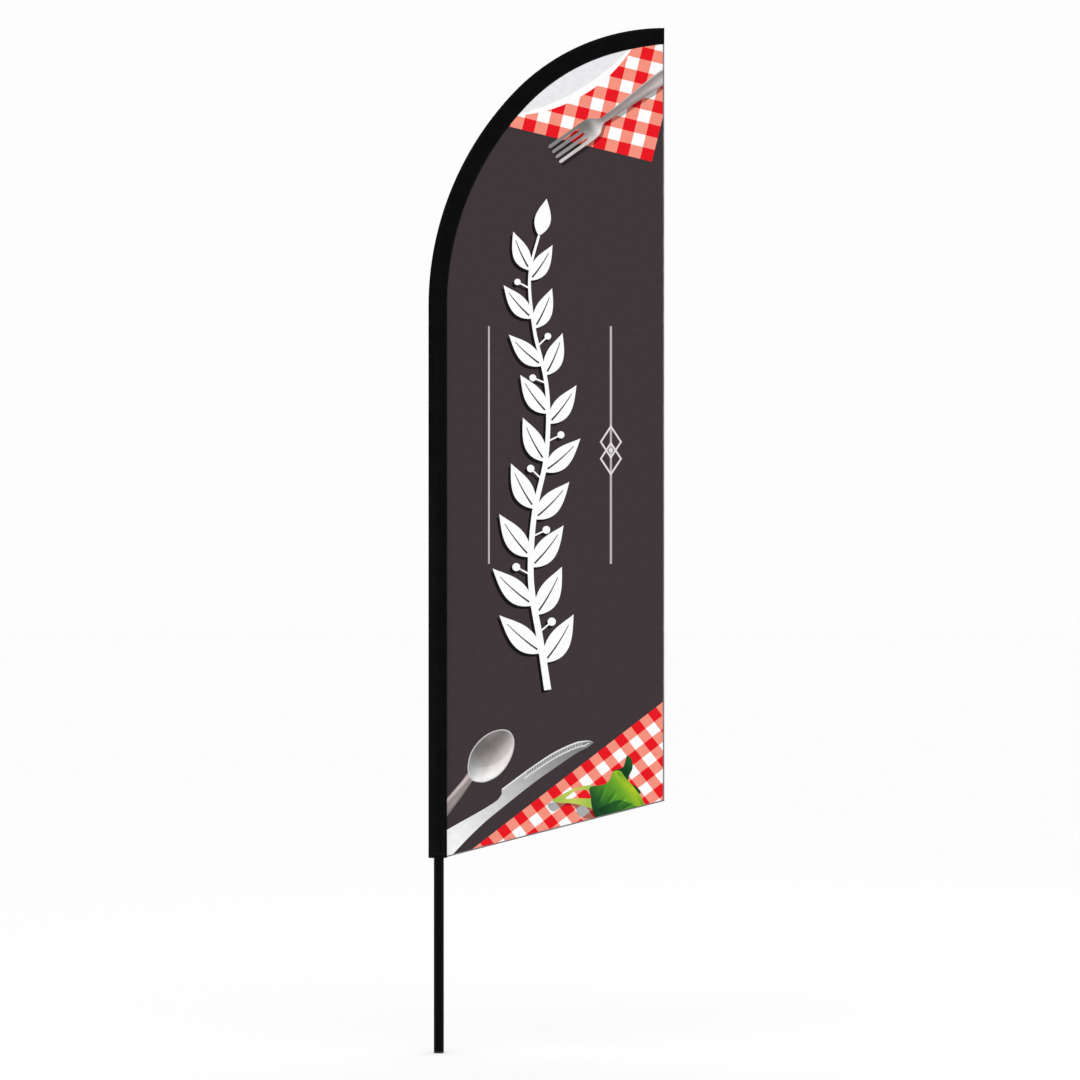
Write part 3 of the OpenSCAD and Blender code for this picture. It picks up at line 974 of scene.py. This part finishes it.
def spoon(art):
    handle = Place(82, 812, 49.8)
    art.add(handle((24, 12), (-10, 8.5), (-40, 8.5), (-140, 9.5), (-140, -27), (-40, -21),
                   (-10, -17.5), (24, -14)),
            metal(handle,
                    (-75, 0.9, -20, 128, -15, 158, -6, 143, -3, 146, 1, 186, 6, 196, 9, 150),
                    (-10, 0.9, -17, 112, -13, 150, -7, 141, -3, 166, 1, 208, 6, 200, 9, 120)))
    place = Place(155, 884, 52.7)
    outline = smooth([(-92, 0), (-86, 16), (-70, 34), (-34, 52), (8, 55.5), (46, 47), (74, 30),
                      (89, 10), (90, -8), (78, -28), (48, -46), (8, -55.5), (-34, -53),
                      (-70, -36), (-86, -17)])
    art.fill(place(*outline), 3.6)
    art.fill(handle((24, 12), (-140, 9.5), (-140, -27), (24, -14)), 4)
    art.add(place(*outline), flat(tone(202)))
    art.add(place(*outline * [0.965, 0.945]), metal(place,
            (-80, 0, -30, 240, -10, 240, 12, 192, 36, 156),
            (-40, 0.3, -50, 248, -28, 247, -14, 205, 8, 178, 28, 153, 48, 128),
            (0, 0.4, -52, 240, -36, 230, -20, 194, 0, 150, 28, 120, 48, 112),
            (60, 0.5, -40, 226, -20, 186, 0, 140, 28, 114, 44, 150)))
    hollow = smooth([(-58, 22), (-40, -2), (-16, -22), (16, -34), (48, -33), (72, -18), (82, 6),
                     (72, 28), (44, 44), (6, 50), (-34, 45)])
    art.add(place(*hollow), metal(place,
            (-58, 0, 0, 176, 20, 160, 40, 142),
            (-20, 0.6, -26, 206, -8, 172, 8, 150, 24, 126, 44, 113),
            (20, 0.6, -36, 214, -20, 186, -4, 146, 8, 126, 22, 109, 46, 110),
            (75, 0.7, -24, 190, -4, 142, 8, 122, 20, 120, 36, 150)))


def knife(art):
    place = Place(60, 640, 37)
    back = smooth([(462, 924), (446, 929), (427, 928), (407, 924), (367, 907), (327, 885),
                   (275, 850), (228, 816), (187, 785)], closed=False)
    upper = smooth([(187, 770), (180, 759), (168, 747), (125, 720), (64, 686), (10, 655)],
                   closed=False)
    lower = smooth([(10, 556), (43, 592), (92, 644), (142, 691), (191, 731), (228, 761),
                    (287, 807), (347, 849), (407, 890), (443, 909)], closed=False)
    body = [(-60, 250), (0, 243), (70, 226), (134, 212), (201, 194), (265, 176), (323, 158),
            (381, 142), (445, 130)]
    outline = np.concatenate([back, upper, lower])
    art.fill(outline, 7)
    art.add(outline, metal(place, *[(at, 0, 0, level) for at, level in body]))
    pitch, down, slant = 4.4, np.array([0.45, -1.0]), np.array([-0.2, -1.0])
    run = walked(back)
    edge = point_at(back, run, np.arange(0, run[-1], pitch))
    taper = np.clip(np.arange(len(edge)) * pitch / 36, 0, 1)[:, None]
    lit = edge[4:56] + down * 12.4 * taper[4:56]
    art.add(np.concatenate([edge[1:], (edge + down * 4.4 * taper)[:0:-1]]), flat(tone(226)))
    art.add(np.concatenate([lit, (lit + down * 4.2 * taper[4:56])[::-1]]), flat(tone(216)))
    high, deep = edge + slant * 5.6 * taper, edge + slant * 14.5 * taper
    art.add(np.concatenate([high[8:52], deep[8:52][::-1]]), flat(tone(184)))
    for k in range(9, 51, 2):
        art.add(np.array([high[k], high[k + 1], deep[k + 1], deep[k]]), flat(tone(118)))


def herb_leaf(art):
    greens = [colour(*c) for c in
              ((18, 58, 34), (38, 92, 40), (74, 138, 42), (110, 168, 44), (176, 200, 40))]
    art.add(smooth([(325, 741), (330, 724), (343, 718), (358, 727), (380, 736), (404, 732),
                    (412, 712), (426, 700), (452, 697), (484, 706), (470, 722), (450, 736),
                    (410, 744), (364, 749)], steps=4), darker(SHADOW))
    pale = [colour(*c) for c in ((152, 190, 70), (196, 206, 96))]
    art.add(smooth([(337, 751), (364, 766), (389, 780), (418, 791), (453, 796), (462, 782),
                    (418, 783), (399, 775), (384, 763), (376, 756), (408, 757), (438, 757),
                    (462, 752), (462, 727), (418, 738), (389, 743), (359, 744)], steps=4),
            shaded((340, 745), (1, 0), 0, pale[0], 60, pale[1], 120, pale[0]))
    art.add(smooth([(520, 838), (548, 850), (560, 884), (574, 872), (576, 846), (566, 824),
                    (566, 806), (590, 790), (600, 772), (560, 776), (530, 800)]),
            shaded((530, 800), (1, 1), 0, greens[1], 40, greens[0], 80, greens[1]))
    body = smooth([(450, 790), (490, 798), (508, 812), (518, 836), (540, 838), (556, 816),
                   (572, 796), (590, 776), (604, 752), (618, 728), (570, 716), (520, 700),
                   (470, 700), (456, 730), (452, 760)])
    art.fill(body, 5)
    art.add(body, shaded((460, 720), (0.8, 0.6), 0, greens[0], 30, greens[1], 70, greens[2],
                         105, greens[3], 132, greens[4]))
    art.add(smooth([(474, 722), (500, 740), (534, 752), (566, 744), (590, 728), (540, 712),
                    (500, 706)]),
            shaded((480, 720), (1, 0.2), 0, greens[0], 50, greens[1], 110, greens[2]))
    for k in range(4):
        foot, turn = 470 + 24 * k, 66 - 15 * k
        vein = leaf(Place(foot, 742 - 5 * k, turn), 66 - 7 * k, 3.2, 0.10)
        art.add(vein, darker(0.62 if k % 2 else 0.74))
        art.add(leaf(Place(foot + 9, 742 - 5 * k, turn - 5), 56 - 6 * k, 2.6, 0.10),
                lambda under, corners, middles: np.minimum(1, under * 1.5))
    art.add(smooth([(530, 832), (552, 806), (580, 776), (598, 742), (612, 732), (604, 758),
                    (584, 786), (558, 816), (540, 836)]),
            shaded((540, 830), (0.6, -0.8), 0, greens[3], 60, greens[4], 110, greens[3]))


def artwork():
    art = Print()
    for part in (rules, sprig, table_corner, fork, place_setting, spoon, knife, herb_leaf):
        part(art)
    return art


PANEL_STEP = 0.0105


def printed_panel():
    """The panel as one thin closed cloth whose corners carry the print's colours."""
    art = artwork()
    rim = outline_points(PANEL_STEP) / MM
    closed = [rim] + [loop for loops, _ in art.layers for loop in loops]
    points, segments, count = closed + art.lines, [], 0
    for k, path in enumerate(points):
        joined = loop_segments(count, len(path))
        segments += joined if k < len(closed) else joined[:-1]
        count += len(path)
    for grid in (grid_points(rim.min(0), rim.max(0), PANEL_STEP / MM), *art.dots):
        points.append(grid[inside(grid, [rim])])
    verts, tris = triangulated(np.concatenate(points), segments)
    corners = verts[tris]
    middles = corners.mean(1)
    keep = inside(middles, [rim])
    tris, corners, middles = tris[keep], corners[keep], middles[keep]
    colours = np.broadcast_to(CHARCOAL, corners.shape[:-1] + (3,)).copy()
    for loops, paint in art.layers:
        hit = inside(middles, loops)
        if hit.any():
            colours[hit] = paint(colours[hit], corners[hit], middles[hit])
    turned = np.cross(corners[:, 1] - corners[:, 0], corners[:, 2] - corners[:, 0]) < 0
    tris[turned], colours[turned] = tris[turned][:, ::-1], colours[turned][:, ::-1]
    used, tris = np.unique(tris, return_inverse=True)
    return build_cloth("flag_cloth", verts[used] * MM, tris.reshape(-1, 3), colours)


BACK_STRENGTH = 0.86
BACK_VEIL = colour(190, 186, 187) * 0.08


def build_cloth(name, flat_verts, tris, colours):
    """Front and back layers, joined round the edge."""
    n = len(flat_verts)
    x, z = flat_verts.T
    off = hang(x, z)
    front = np.stack([x, off - CLOTH_T / 2, z], 1)
    back = np.stack([x, off + CLOTH_T / 2, z], 1)
    rim = {}
    for t in tris:
        for a, b in zip(t, np.roll(t, -1)):
            if rim.pop((b, a), None) is None:
                rim[(a, b)] = True
    edge_quads = [(b, a, a + n, b + n) for a, b in rim]
    faces = [tuple(t) for t in tris] + [tuple(t[::-1] + n) for t in tris] + edge_quads
    cloth = new_object(name, np.concatenate([front, back]), faces)
    bled = colours[:, ::-1] * BACK_STRENGTH + BACK_VEIL
    edge = np.broadcast_to(CHARCOAL, (len(edge_quads) * 4, 3))
    flat_colours = np.concatenate([colours.reshape(-1, 3), bled.reshape(-1, 3), edge])
    layer = cloth.data.color_attributes.new("Print", "FLOAT_COLOR", "CORNER")
    rgba = np.ones((len(flat_colours), 4), np.float32)
    rgba[:, :3] = flat_colours
    layer.data.foreach_set("color", rgba.ravel())
    return finished(cloth, CLOTH, "flag_panel")


# ---------------------------------------------------------------- the sleeve
RING_STEP = 0.008
CORE_STEPS = 12
FOLD_STEPS = 5
HEM = 0.018
HEM_SWELL = 0.0002
PUCKER_PITCH = 0.0145
FOLD_STILL = 0.001  # nearer the fold than this, the cloth keeps its place


def sleeve_half(s, grown=0.0):
    """Half of the sleeve's section, from the lip to the fold, as (inset, height)."""
    heading = heading_at(s)
    width = sleeve_width(heading)
    core_at = core_inset(heading)
    core_r = core_space(s) + SLEEVE_SHELL + grown
    start = math.acos((core_r - LIP_HALF) / (width - SEAM_LAP - core_at))
    turn = math.acos((FOLD_R - core_r) / (core_at - FOLD_R))
    half = [(width, LIP_HALF + grown), (width - SEAM_LAP / 2, LIP_HALF + grown),
            (width - SEAM_LAP, LIP_HALF + HEM_SWELL + grown)]
    for a in np.linspace(start, turn, CORE_STEPS + 1):
        half.append((core_at + core_r * math.cos(a), core_r * math.sin(a)))
    for a in np.linspace(turn, math.pi, FOLD_STEPS + 1)[1:]:
        half.append((FOLD_R + (FOLD_R + grown) * math.cos(a), (FOLD_R + grown) * math.sin(a)))
    return half


def both_sides(half):
    """A half section and its mirror image, as one line from lip to lip."""
    return [(u, -v) for u, v in half] + half[-2::-1]


def pucker(s, inset, side, width):
    """How far the sleeve's cloth moves in or out: seam puckers, drag lines and slack."""
    from_seam = width - inset
    near = math.exp(-from_seam / 0.013)
    small = math.sin(s / PUCKER_PITCH * 2 * math.pi + 2.2 * math.sin(s * 23) + side)
    slow = noise.noise(Vector((s * 9.0, inset * 26.0, side * 7.0)))
    drag = noise.noise(Vector((s * 26.0 + inset * 150.0 * side, inset * 30.0, side * 3.0)))
    free = ease((from_seam - 0.003) / 0.010) * ease((FOLD_LEN - s - 0.012) / 0.03)
    return -free * (0.0006 * near * (1 + small) + 0.0010 * (0.5 + slow)
                    + 0.0006 * (0.5 + drag))


def sleeve_ring(s, grown=0.0):
    """One ring of the sleeve's outer surface, in the row frame."""
    half = sleeve_half(s, grown)
    width = sleeve_width(heading_at(s))
    ring = []
    for side, section in ((-1, half), (1, half[-2::-1])):
        for inset, height in section:
            if inset > FOLD_STILL:
                height = max(height + pucker(s, inset, side, width), LIP_HALF * 0.9)
            x, z = along(s, max(inset, 0.0))
            ring.append((x, side * height, z))
    return ring


def pole_sleeve():
    stops = [*np.arange(0, FOLD_LEN, RING_STEP), FOLD_LEN]
    rings = [sleeve_ring(s, HEM_SWELL * float(1 - ease((s - HEM) / 0.004))) for s in stops]
    verts, faces = lofted(rings, closed_ring=False, capped=False)
    sleeve = new_object("pole_sleeve", verts, [f[::-1] for f in faces])
    thick = sleeve.modifiers.new("Cloth", "SOLIDIFY")
    thick.thickness = SLEEVE_T
    thick.offset = -1
    return finished(sleeve, SLEEVE_CLOTH, "sleeve")


# ---------------------------------------------------------------- stitching and edges
STITCH_LEN = 0.0024
THREAD_R = 0.00022
THREAD_SIDES = 5
THREAD_LIFT = 0.0001
TACK_LEN = 0.0042
TACK_R = 0.00026
SEAM_ROWS = (0.0012, 0.0036)
HEM_ROWS = (0.014, 0.017)
END_ROWS = (0.006, 0.011)
TAPE_T = 0.00035
TAPE_STEP = 0.006
TAPE_ROW = BINDING_W - 0.0011


def stitched(name, spots, material, length=STITCH_LEN, radius=THREAD_R):
    """Thread stitches: each spot is (centre, direction, outward)."""
    verts, faces = [], []
    for centre, run, out in spots:
        across = np.cross(run, out)
        base = len(verts)
        verts.append(centre - run * length / 2 - out * radius * 0.6)
        for k in (-0.28, 0.28):
            for i in range(THREAD_SIDES):
                a = 2 * math.pi * i / THREAD_SIDES
                verts.append(centre + run * length * k
                             + (across * math.cos(a) + out * math.sin(a)) * radius * 0.9)
        verts.append(centre + run * length / 2 - out * radius * 0.6)
        low, high, last = base + 1, base + 1 + THREAD_SIDES, base + 1 + 2 * THREAD_SIDES
        for i in range(THREAD_SIDES):
            j = (i + 1) % THREAD_SIDES
            faces += [(base, low + j, low + i), (low + i, low + j, high + j, high + i),
                      (last, high + i, high + j)]
    return finished(new_object(name, verts, faces), material)


def seam_row(from_lip, side):
    """Stitches along the seam's lip, on the front (side -1) or back (1)."""
    spots = []
    for s in np.arange(0.004, FOLD_LEN - 0.004, STITCH_PITCH):
        inset = sleeve_width(heading_at(s)) - from_lip
        a, b = along(s - 0.0005, inset), along(s + 0.0005, inset)
        run = unit([b[0] - a[0], 0, b[1] - a[1]])
        spots.append((np.array([a[0], side * (LIP_HALF + 0.00012), a[1]]), run,
                      np.array([0, side, 0.0])))
    return spots


def around_sleeve(s):
    """Stitches round the sleeve's hem, a distance s above its mouth."""
    ring = np.array(sleeve_ring(s, HEM_SWELL))
    run = walked(ring)
    spots = []
    for t in np.arange(0.006, run[-1] - 0.006, STITCH_PITCH):
        a, b = point_at(ring, run, t - 0.0006), point_at(ring, run, t + 0.0006)
        way = unit(b - a)
        out = unit(np.cross(way, [0, 0, 1.0]))
        spots.append(((a + b) / 2 + out * THREAD_LIFT, way, out))
    return spots


def tip_rows():
    """Two rows across the sleeve's closed end, front and back."""
    spots = []
    for back in END_ROWS:
        ring = np.array(sleeve_ring(FOLD_LEN - back))
        for side in (-1, 1):
            half = ring[ring[:, 1] * side > 0]
            x, y, z = half[np.argsort(half[:, 2])].T
            for at in np.arange(z[0] + 0.004, z[-1] - 0.003, STITCH_PITCH):
                here = np.interp(at, z, y)
                slope = np.interp(at + 0.001, z, y) - here
                out = unit([0, side * 0.001, -side * slope])
                spots.append((np.array([np.interp(at, z, x), here, at]) + out * THREAD_LIFT,
                              unit([0, slope, 0.001]), out))
    return spots


def bar_tacks():
    """Dense zigzag tacks across the seam's ends, front and back."""
    spots = []
    span, count = 0.016, 20
    for middle in (0.010, FOLD_LEN - 0.018):
        for side in (-1, 1):
            for s in middle + span * np.linspace(-0.5, 0.5, count):
                width = sleeve_width(heading_at(s))
                a, b = along(s, width - 0.0006), along(s, width - 0.0044)
                x, z = (a + b) / 2
                spots.append((np.array([x, side * (LIP_HALF + 0.0002), z]),
                              unit([b[0] - a[0], 0, b[1] - a[1]]), np.array([0, side, 0.0])))
    return spots


def sleeve_stitching():
    for side, face in ((-1, "front"), (1, "back")):
        rows = [seam_row(from_lip, side) for from_lip in SEAM_ROWS]
        stitched("seam_stitches_" + face, rows[0] + rows[1], THREAD)
    rows = [around_sleeve(s) for s in HEM_ROWS]
    stitched("hem_stitches", rows[0] + rows[1] + tip_rows(), THREAD)
    stitched("bar_tacks", bar_tacks(), THREAD, TACK_LEN, TACK_R)


def edge_path(kind, step):
    """Points on the panel's free edge: the edge itself and the way into the cloth."""
    if kind == "fly":
        low = low_edge_z(FLY_X)
        high = TOP - sleeve_width(math.pi / 2) - 0.0008
        zs = np.linspace(low, high, int((high - low) / step) + 1)
        return [(np.array([FLY_X, z]), np.array([-1.0, 0.0])) for z in zs]
    into = np.array([-math.sin(PANEL_SLOPE), math.cos(PANEL_SLOPE)])
    xs = np.linspace(SEAM_X + 0.0004, FLY_X - 0.0002, int(PANEL_W / step) + 1)
    return [(np.array([x, low_edge_z(x)]), into) for x in xs]


def edge_frames(kind, step):
    """Along a free edge: its point on the hanging cloth, and the ways in, along and out."""
    frames, reach = [], 0.002
    for (x, z), way in edge_path(kind, step):
        here = float(hang(x, z))
        there = float(hang(x + way[0] * reach, z + way[1] * reach))
        into = unit([way[0] * reach, there - here, way[1] * reach])
        run = np.array([0.0, 0, 1]) if kind == "fly" else unit([-way[1], 0, way[0]])
        out = unit(np.cross(into, run))
        frames.append((np.array([x, here, z]), into, run, -out if out[1] > 0 else out))
    return frames


def binding(kind, name, node):
    """A folded tape round a free edge, and a row of stitches on each side."""
    half_t, inner = CLOTH_T / 2 + TAPE_T, CLOTH_T / 2
    bulge = [(BINDING_W, half_t), (BINDING_W * 0.5, half_t * 1.05), (0.0006, half_t),
             (0.0001, half_t * 0.7)]
    section = ([(u, -v) for u, v in bulge] + [(0.0, 0.0)] + bulge[::-1]
               + [(BINDING_W, inner), (0.0012, inner), (0.0012, -inner), (BINDING_W, -inner)])
    verts, faces = lofted([[base + into * u - out * v for u, v in section]
                           for base, into, _, out in edge_frames(kind, TAPE_STEP)])
    if kind == "fly":
        faces = [f[::-1] for f in faces]
    tape = finished(outward(new_object(name, verts, faces)), BINDING, node)
    spots = [(base + into * TAPE_ROW + out * side * (half_t + 0.00008), run,
              out * side)
             for base, into, run, out in edge_frames(kind, STITCH_PITCH) for side in (1, -1)]
    return [tape, stitched(name + "_stitches", spots[4:-4], GREY_THREAD,
                           radius=0.0002)]


# ---------------------------------------------------------------- inside the mouth
STRAP_LOW, STRAP_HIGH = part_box("cinch_strap")
CUFF_LOW, CUFF_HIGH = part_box("cuff_webbing")
CLOSURE_LOW, CLOSURE_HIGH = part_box("tip_patch")
STRAP_IN = POLE_R + 0.0004
STRAP_T = 0.001
NAP_T = 0.0012
CUFF_GAP = 0.00005
CUFF_T = 0.0008


def strap_ring(name, r_in, thick, start, sweep, material, node):
    """A woven band bent round the pole, with rounded selvedges."""
    closed = sweep >= 360
    count = max(8, sweep // 5)
    mid, half = r_in + thick / 2, thick / 2
    tall = (STRAP_HIGH.z - STRAP_LOW.z) / 2
    middle_z = (STRAP_HIGH.z + STRAP_LOW.z) / 2
    corner = [(-half, -tall + half), (-half * 0.4, -tall)]
    low = corner + [(-u, v) for u, v in corner[::-1]]
    section = low + [(u, -v) for u, v in low[::-1]]
    rings = []
    for i in range(count + 1):
        a = math.radians(start + sweep * (i % count if closed else i) / count)
        rings.append([((mid + u) * math.cos(a), (mid + u) * math.sin(a), middle_z + v)
                      for u, v in section])
    obj = new_object(name, *lofted(rings, capped=not closed))
    return finished(outward(obj, merge=True), material, node)


def cuff():
    """Webbing that lines the sleeve's mouth."""
    rings = []
    outer = -(SLEEVE_SHELL + CUFF_GAP)
    for z in np.linspace(CUFF_LOW.z, CUFF_HIGH.z, 5):
        s = z - MOUTH_Z
        lines = [both_sides(sleeve_half(s, grown)[3:]) for grown in (outer, outer - CUFF_T)]
        rings.append([(fold_point(s)[0] + u, v, z) for u, v in lines[0] + lines[1][::-1]])
    verts, faces = lofted(rings)
    faces = faces[:-2]
    n = len(rings[0])
    for top, turn in ((0, 1), ((len(rings) - 1) * n, -1)):
        for i in range(n // 2 - 1):
            faces.append((top + i, top + i + 1, top + n - 2 - i, top + n - 1 - i)[::turn])
    return finished(outward(new_object("mouth_webbing", verts, faces)), WEBBING,
                    "cuff_webbing")


def rounded_slab(name, radius, material, node):
    """A thin sewn piece with rounded edges, in the box of its CAD node."""
    low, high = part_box(node)
    bm = bmesh.new()
    bmesh.ops.create_cube(bm, size=1.0)
    for v in bm.verts:
        v.co = Vector([(a + b) / 2 + c * (b - a) for a, b, c in zip(low, high, v.co)])
    bmesh.ops.bevel(bm, geom=list(bm.edges), offset=radius, segments=3, affect="EDGES",
                    profile=0.5)
    mesh = bpy.data.meshes.new(name)
    bm.to_mesh(mesh)
    bm.free()
    return finished(outward(placed(mesh)), material, node)


def tip_closure():
    """The folded patch that closes the sleeve's end: the sleeve's own inner section."""
    low, high = CLOSURE_LOW.x, CLOSURE_HIGH.x
    seam_root = (sleeve_width(math.pi / 2) - SEAM_LAP - 0.001, 0.0005)
    line = both_sides([seam_root] + sleeve_half(FOLD_LEN, -(SLEEVE_T + 0.0004))[3:])
    middle = np.mean([u for u, _ in line])
    rings = []
    for x, shrink in ((low, 0.75), (low + 0.0008, 0.95), (low + 0.002, 1.0),
                      (high - 0.002, 1.0), (high - 0.0006, 0.95), (high, 0.8)):
        rings.append([(x, v * shrink, TOP - (middle + (u - middle) * (0.5 + shrink / 2)))
                      for u, v in line])
    return finished(outward(new_object("tip_closure", *lofted(rings))), WEBBING,
                    "tip_patch")


def inner_pieces():
    cuff()
    strap_ring("strap_band", STRAP_IN, STRAP_T, 0, 360, WEBBING, "cinch_strap")
    strap_ring("strap_patch", STRAP_IN + STRAP_T, NAP_T, 162, 36, NAP, "strap_fastener")
    rounded_slab("sewn_tab", 0.0005, WEBBING, "strap_tab")
    tip_closure()


# ---------------------------------------------------------------- studio
VIEW_WIDTH = 3.214
VIEW_CENTRE = (0.301, 1.526)
LENS = 135.0
SENSOR = 36.0
FLOOR_REACH = 60.0
LAMPS = {"key": ((-3.2, -5.0, 4.2), 3.0, 26), "rim": ((4.0, 3.5, 3.6), 2.5, 16)}
LAMP_AIM = Vector((0.3, 0, 1.6))


def in_scene(name, data):
    obj = bpy.data.objects.new(name, data)
    bpy.context.scene.collection.objects.link(obj)
    return obj


def studio():
    scene = bpy.context.scene
    camera_data = bpy.data.cameras.new("camera")
    camera_data.lens = LENS
    camera_data.sensor_width = SENSOR
    camera_data.clip_end = 200.0
    camera = in_scene("camera", camera_data)
    camera.location = (VIEW_CENTRE[0], -VIEW_WIDTH * LENS / SENSOR, VIEW_CENTRE[1])
    camera.rotation_euler = (math.pi / 2, 0, 0)
    scene.camera = camera

    floor_mesh = bpy.data.meshes.new("floor")
    floor_mesh.from_pydata([(a * FLOOR_REACH, b * FLOOR_REACH, 0)
                            for a, b in ((-1, -1), (1, -1), (1, 1), (-1, 1))], [],
                           [(0, 1, 2, 3)])
    floor = in_scene("floor", floor_mesh)
    paint = Nodes("pale_floor")
    paint.set(Base_Color=(0.86, 0.86, 0.86, 1), Roughness=0.9, Specular_IOR_Level=0.1,
              Emission_Color=(1, 1, 1, 1), Emission_Strength=0.13)
    floor_mesh.materials.append(paint.material)

    world = bpy.data.worlds.new("studio")
    world.use_nodes = True
    world.node_tree.nodes["Background"].inputs[0].default_value = (1, 1, 1, 1)
    world.node_tree.nodes["Background"].inputs[1].default_value = 0.98
    scene.world = world
    for name, (place, size, power) in LAMPS.items():
        data = bpy.data.lights.new(name, "AREA")
        data.size = size
        data.energy = power
        lamp = in_scene(name, data)
        lamp.location = place
        lamp.rotation_euler = (LAMP_AIM - Vector(place)).to_track_quat("-Z", "Y").to_euler()
    scene.view_settings.view_transform = "Standard"
    scene.view_settings.look = "None"


studio()
dress_cad_nodes()
flag_cloth = printed_panel()
flag_sleeve = pole_sleeve()
sleeve_stitching()
edge_pieces = (binding("fly", "fly_edge", "fly_binding")
               + binding("bottom", "bottom_edge", "bottom_binding"))
inner_pieces()
